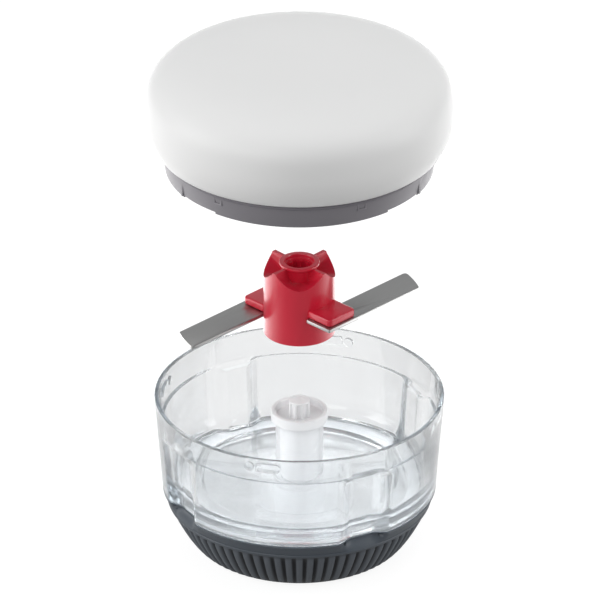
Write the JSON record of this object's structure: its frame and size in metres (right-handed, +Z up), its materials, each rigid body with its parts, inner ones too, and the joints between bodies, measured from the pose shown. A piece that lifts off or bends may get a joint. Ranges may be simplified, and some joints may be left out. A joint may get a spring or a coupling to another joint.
{
  "type": "hand crank food chopper",
  "caption": "Hand-cranked food chopper drawn apart: domed crank lid with gear train, two-blade hub, and clear bowl on a ribbed base.",
  "frame": {"origin": "centre of the base's foot, on the surface that the chopper stands on", "axes": "+Z up along the common axis of bowl, blade and lid; -Y towards the pictured front"},
  "size_m": [0.1482, 0.1482, 0.2598],
  "materials": {
    "clear_plastic": "clear gloss",
    "white_plastic": "gloss",
    "ring_plastic": "satin",
    "red_plastic": "gloss",
    "blade_steel": "fine ground",
    "slate_plastic": "satin",
    "slate_grip": "soft satin",
    "dark_rubber": "matte",
    "gear_nylon": "satin",
    "plain_steel": "bright zinc",
    "bush_bronze": "sintered, dull"
  },
  "bodies": {
    "root": {"bowl": "clear_plastic", "post_bush": "white_plastic", "base_cup": "slate_plastic", "base_grip": "slate_grip", "foot_ring": "dark_rubber"},
    "spindle": {"spindle_cap": "white_plastic", "spindle_clip": "plain_steel"},
    "blade": {"blade_hub": "red_plastic", "blade_upper": "blade_steel", "blade_lower": "blade_steel"},
    "seal": {"lid_seal": "dark_rubber"},
    "lid_frame": {"lid_ring": "ring_plastic", "cover_plate": "ring_plastic", "cover_screw_1": "plain_steel", "cover_screw_2": "plain_steel", "cover_screw_3": "plain_steel", "planet_pin_1": "plain_steel", "planet_pin_2": "plain_steel", "planet_pin_3": "plain_steel", "shaft_bush": "bush_bronze", "rotor_washer": "plain_steel", "rotor_screw": "plain_steel"},
    "planet_1": {"planet_gear_1": "gear_nylon"},
    "planet_2": {"planet_gear_2": "gear_nylon"},
    "planet_3": {"planet_gear_3": "gear_nylon"},
    "drive": {"drive_shaft": "plain_steel", "sun_gear": "gear_nylon", "drive_cross": "white_plastic", "drive_screw": "plain_steel"},
    "crank": {"crank_rotor": "gear_nylon", "crank_dome": "white_plastic"}
  },
  "joints": [
    {"name": "lid_lift", "type": "slide", "parent": "root", "child": "seal", "axis": [0, 0, 1], "range_m": [-0.1373, 0]},
    {"name": "lid_twist", "type": "hinge", "parent": "seal", "child": "lid_frame", "pos_m": [0, 0, 0.2173], "axis": [0, 0, 1], "range_deg": [0, 15]},
    {"name": "crank_turn", "type": "hinge", "parent": "lid_frame", "child": "crank", "pos_m": [0, 0, 0.2373], "axis": [0, 0, 1], "continuous": true},
    {"name": "drive_spin", "type": "hinge", "parent": "lid_frame", "child": "drive", "pos_m": [0, 0, 0.2273], "axis": [0, 0, 1], "continuous": true},
    {"name": "planet_1_spin", "type": "hinge", "parent": "lid_frame", "child": "planet_1", "pos_m": [0.027, 0, 0.2283], "axis": [0, 0, 1], "continuous": true},
    {"name": "planet_2_spin", "type": "hinge", "parent": "lid_frame", "child": "planet_2", "pos_m": [-0.0135, 0.02338, 0.2283], "axis": [0, 0, 1], "continuous": true},
    {"name": "planet_3_spin", "type": "hinge", "parent": "lid_frame", "child": "planet_3", "pos_m": [-0.0135, -0.02338, 0.2283], "axis": [0, 0, 1], "continuous": true},
    {"name": "spindle_spin", "type": "hinge", "parent": "root", "child": "spindle", "pos_m": [0, 0, 0.07], "axis": [0, 0, 1], "continuous": true},
    {"name": "blade_lift", "type": "slide", "parent": "spindle", "child": "blade", "axis": [0, 0, 1], "range_m": [-0.0712, 0]}
  ],
  "couplings": [
    {"joint": "drive_spin", "follows": "crank_turn", "ratio": -5},
    {"joint": "planet_1_spin", "follows": "crank_turn", "ratio": 2.5},
    {"joint": "planet_2_spin", "follows": "crank_turn", "ratio": 2.5},
    {"joint": "planet_3_spin", "follows": "crank_turn", "ratio": 2.5},
    {"joint": "spindle_spin", "follows": "crank_turn", "ratio": -5},
    {"joint": "blade_lift", "follows": "lid_lift", "ratio": 0.5185}
  ]
}
